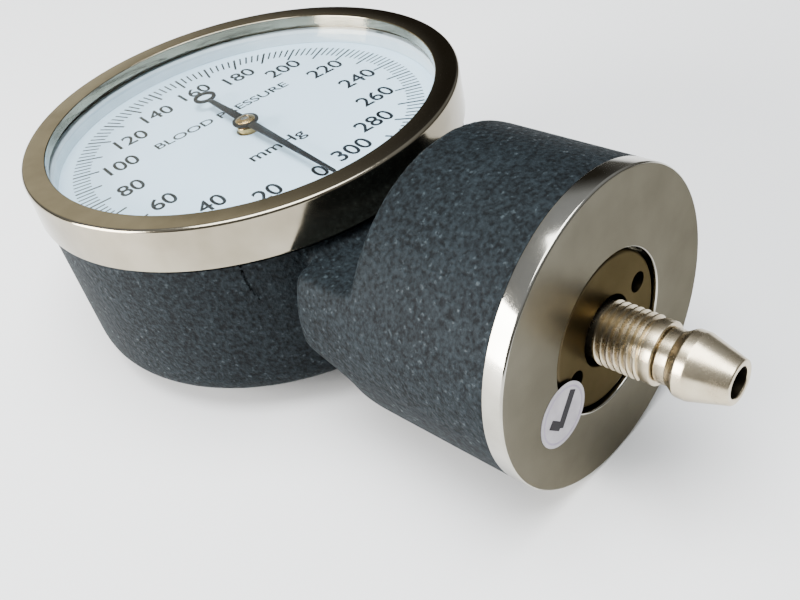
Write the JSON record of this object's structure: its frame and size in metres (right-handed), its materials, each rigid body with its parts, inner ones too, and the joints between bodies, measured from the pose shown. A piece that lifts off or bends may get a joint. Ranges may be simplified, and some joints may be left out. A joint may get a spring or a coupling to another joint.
{
  "type": "aneroid sphygmomanometer gauge",
  "caption": "Round aneroid pressure gauge head with a side barrel and a barbed hose nipple, for a blood pressure cuff.",
  "frame": {"origin": "on the dial axis, in the plane of the flat case back", "axes": "+Z is out of the dial along the dial axis, -Y is along the barrel and out of the hose nipple"},
  "size_m": [0.052, 0.0891, 0.0328],
  "materials": {
    "case_paint": "wrinkle paint",
    "bezel_nickel": "polished",
    "black_rubber": "matt",
    "lens_clear": "clear",
    "dial_white": "satin",
    "spacer_white": "satin",
    "pointer_black": "satin",
    "brass": "turned",
    "steel": "turned",
    "spring_steel": "blued",
    "movement_plate": "satin",
    "capsule_bronze": "satin",
    "stem_nickel": "turned",
    "nut_bronze": "satin",
    "cap_nickel": "satin face, polished band",
    "sticker_paper": "gloss"
  },
  "bodies": {
    "gauge_case": {"case_body": "case_paint", "bezel_ring": "bezel_nickel", "bezel_gasket": "black_rubber", "lens": "lens_clear", "lens_spacer": "spacer_white", "dial_plate": "dial_white", "upper_bush": "brass", "lower_bush": "brass", "hairspring": "spring_steel", "hairspring_stud": "steel", "movement_base_plate": "movement_plate", "movement_top_plate": "movement_plate", "movement_pillars": "brass", "pillar_screws": "steel", "base_screws": "steel", "pin_guide": "brass", "capsule_moving_half": "capsule_bronze", "capsule_fixed_half": "capsule_bronze", "pressure_stem": "stem_nickel", "stem_washer": "black_rubber", "retaining_nut": "nut_bronze", "end_cap": "cap_nickel", "cap_seal": "black_rubber", "hose_barb": "stem_nickel", "quality_sticker": "sticker_paper"},
    "sector": {"sector_gear": "brass", "sector_shaft": "steel", "lever_arm": "steel"},
    "pointer_assembly": {"pointer": "pointer_black", "pointer_boss": "brass", "pinion_arbor": "steel", "hairspring_collet": "brass"},
    "push_rod": {"push_pin": "steel", "capsule_boss": "brass"}
  },
  "joints": [
    {"name": "sector_swing", "type": "hinge", "parent": "gauge_case", "child": "sector", "pos_m": [-0.0041, -0.01547, 0.0133], "axis": [0, 0, 1], "range_deg": [0, 22.8]},
    {"name": "pointer_turn", "type": "hinge", "parent": "gauge_case", "child": "pointer_assembly", "pos_m": [0, 0, 0.0212], "axis": [0, 0, 1], "range_deg": [-342, 0], "deforming": ["hairspring"]},
    {"name": "push_rod_travel", "type": "slide", "parent": "gauge_case", "child": "push_rod", "axis": [0, 1, 0], "range_m": [0, 0.00162], "stiffness_N_per_m": 60, "deforming": ["capsule_moving_half"]}
  ],
  "couplings": [
    {"joint": "sector_swing", "follows": "push_rod_travel", "rad_per_m": 245.52},
    {"joint": "pointer_turn", "follows": "push_rod_travel", "rad_per_m": -3682.8}
  ]
}
